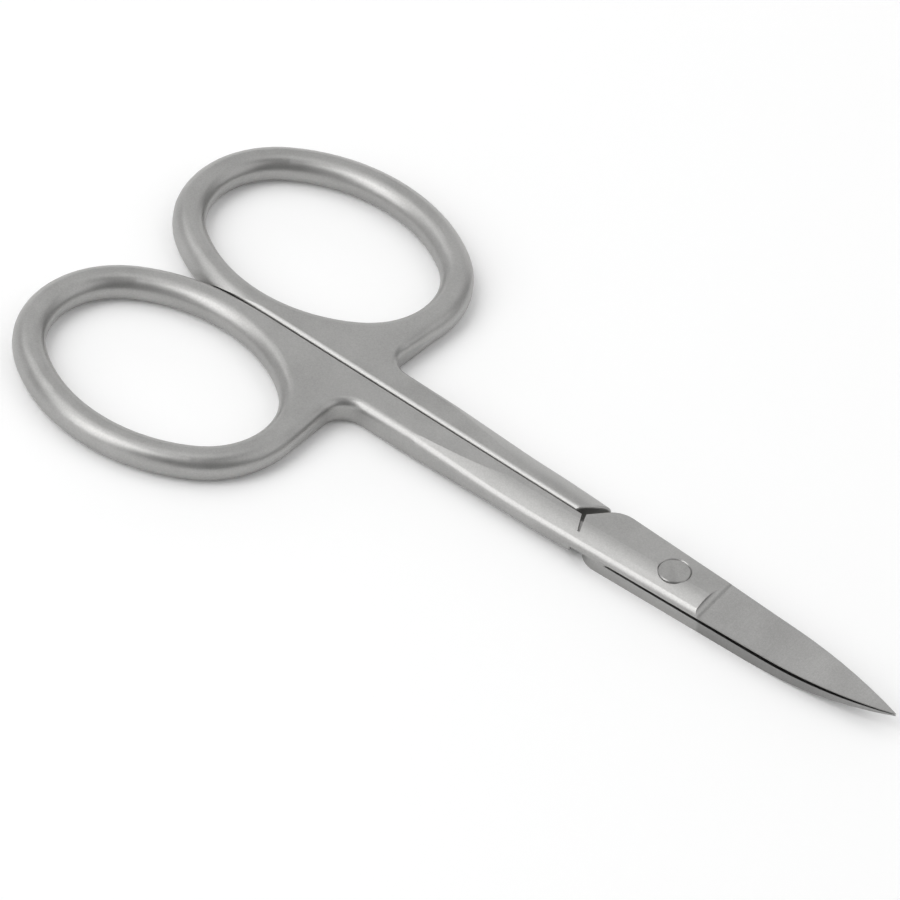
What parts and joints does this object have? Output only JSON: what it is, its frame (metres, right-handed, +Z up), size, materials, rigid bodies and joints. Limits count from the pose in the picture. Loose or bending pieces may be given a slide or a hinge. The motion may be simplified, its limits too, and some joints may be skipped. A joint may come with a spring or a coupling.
{
  "type": "cuticle scissors",
  "caption": "Small steel cuticle scissors: oval finger rings, straight shanks and short upturned pointed blades that turn on a flush pivot screw.",
  "frame": {"origin": "under the middle of the closed scissors, on the plane they lie on", "axes": "+X runs from the finger rings to the blade tips, +Z is up out of the flat face, +Y to the side of the lower half's ring"},
  "size_m": [0.09, 0.0464, 0.0028],
  "materials": {
    "steel": "satin, fine tumbled grain",
    "screw_steel": "satin, turned"
  },
  "bodies": {
    "lower": {"lower_half": "steel"},
    "upper": {"upper_half": "steel", "pivot_screw": "screw_steel"}
  },
  "joints": [
    {"name": "pivot", "type": "hinge", "parent": "lower", "child": "upper", "pos_m": [0.0197, 0, 0.0014], "axis": [0, 0, 1], "range_deg": [0, 70]}
  ]
}
